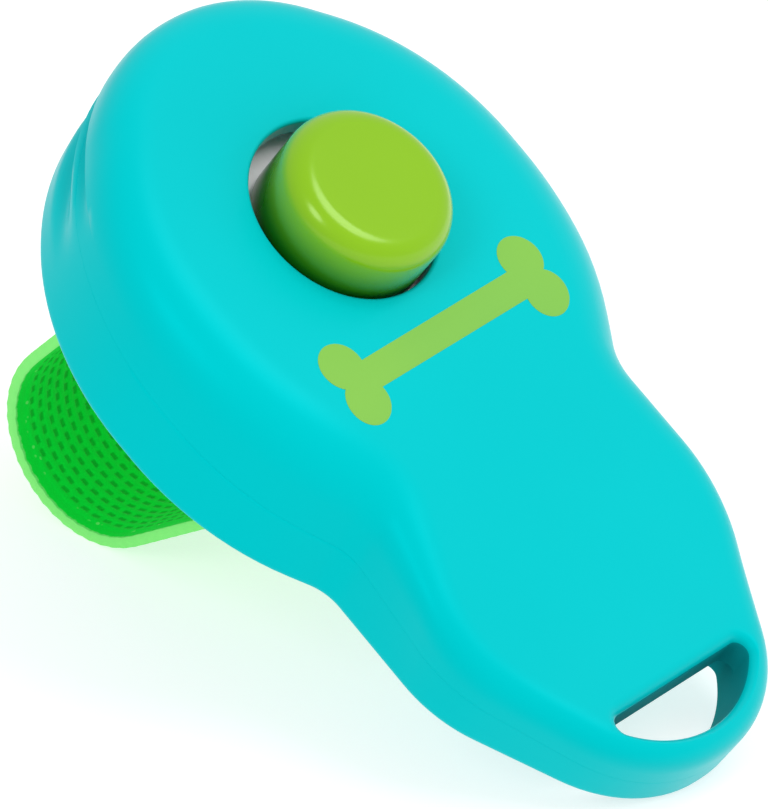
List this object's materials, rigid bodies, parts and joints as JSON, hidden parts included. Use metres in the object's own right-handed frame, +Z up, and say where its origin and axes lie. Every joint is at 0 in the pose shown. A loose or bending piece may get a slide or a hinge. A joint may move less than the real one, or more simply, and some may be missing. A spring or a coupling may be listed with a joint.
{
  "type": "training clicker",
  "caption": "Pear-shaped two-shell training clicker with a raised round push button, an elastic finger band and a tether hole.",
  "frame": {"origin": "middle of the footprint at table level, with the clicker lying as it rests on its finger band and the tip of its tail", "axes": "+X towards the tail, along the table; +Z up; the casing leans 30.8 degrees about Y, so the button's axis points up and towards the tail"},
  "size_m": [0.0718, 0.051, 0.0481],
  "materials": {
    "casing": "glossy turquoise moulded ABS",
    "button": "glossy lime moulded plastic",
    "spring_steel": "rolled spring steel",
    "screw_steel": "zinc-plated steel",
    "elastic": "woven elastic band",
    "print": "pad-printed lime ink"
  },
  "bodies": {
    "casing": {"top_shell": "casing", "base_shell": "casing", "reed_root": "spring_steel", "reed_clamp": "spring_steel", "reed_screws": "screw_steel", "case_screws": "screw_steel", "tail_screw": "screw_steel", "finger_band": "elastic", "band_pins": "screw_steel"},
    "button": {"button": "button"},
    "reed": {"reed_tongue": "spring_steel"}
  },
  "joints": [
    {"name": "button_press", "type": "slide", "parent": "casing", "child": "button", "axis": [-0.5116, 0, -0.8592], "range_m": [0, 0.0015], "stiffness_N_per_m": 1500},
    {"name": "reed_bend", "type": "hinge", "parent": "casing", "child": "reed", "pos_m": [-0.02139, 0, 0.04113], "axis": [0, 1, 0], "range_deg": [0, 6.5]}
  ],
  "couplings": [
    {"joint": "reed_bend", "follows": "button_press", "rad_per_m": 73}
  ]
}
